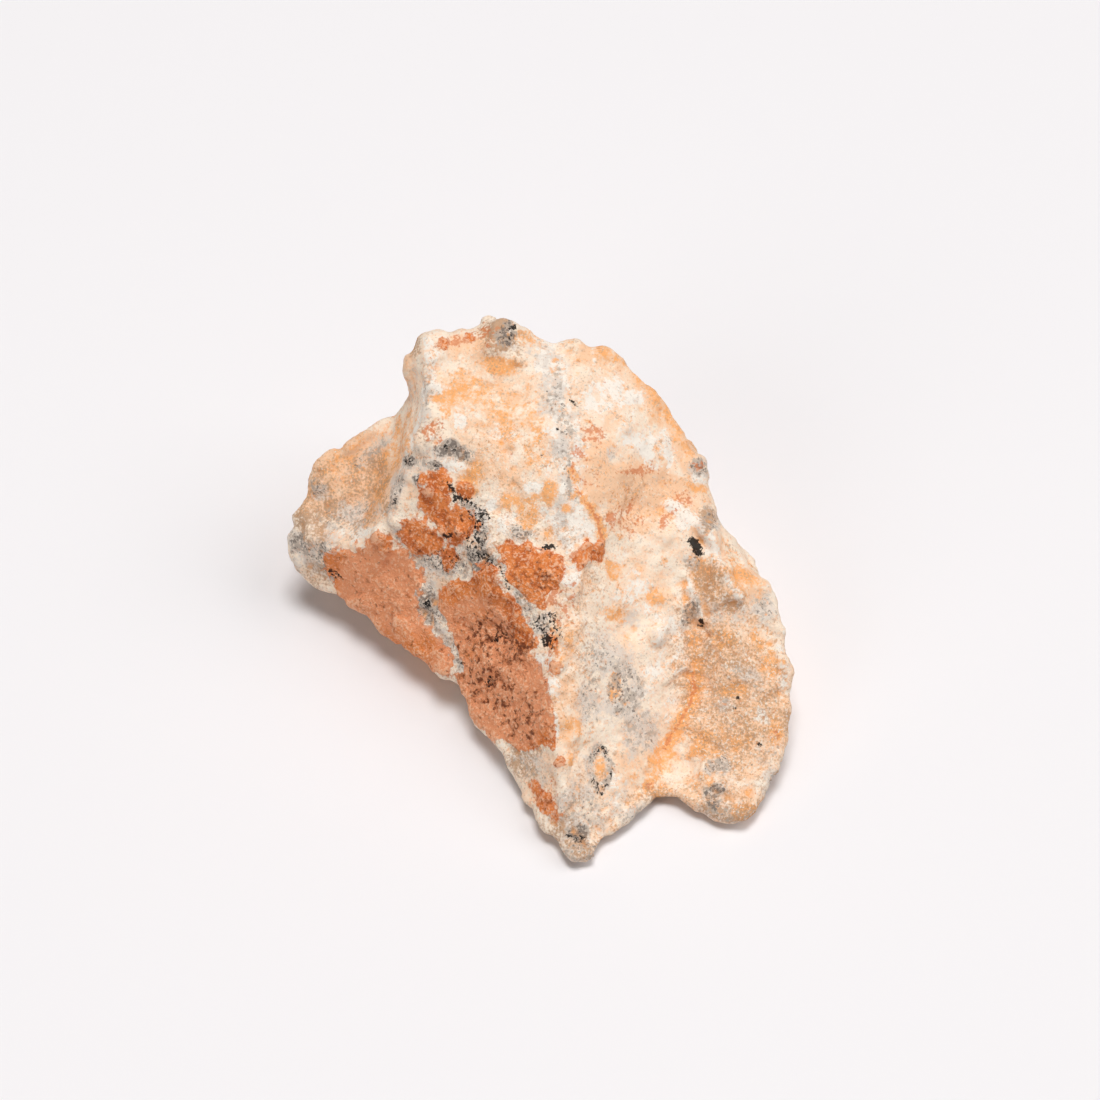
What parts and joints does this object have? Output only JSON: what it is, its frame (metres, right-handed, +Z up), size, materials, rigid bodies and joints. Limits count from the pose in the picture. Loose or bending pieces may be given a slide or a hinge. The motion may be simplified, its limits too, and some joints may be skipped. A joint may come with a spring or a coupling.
{
  "type": "lunar meteorite",
  "caption": "Broken natural stone with a high flat-topped end, a steep ridge down to a pointed foot, a side lobe and a flat spot beneath to rest on.",
  "frame": {"origin": "centre of the bounding box in plan, on the plane that the stone rests on", "axes": "+Z up, -Y towards the pointed foot and the viewer of the picture, +X to the viewer's right"},
  "size_m": [0.0328, 0.0329, 0.0194],
  "materials": {
    "stone": "weathered feldspar breccia: cream and pale grey, with rust-orange stains and dark mineral grains; dull and finely granular"
  },
  "bodies": {
    "root": {"stone": "stone"}
  },
  "joints": []
}
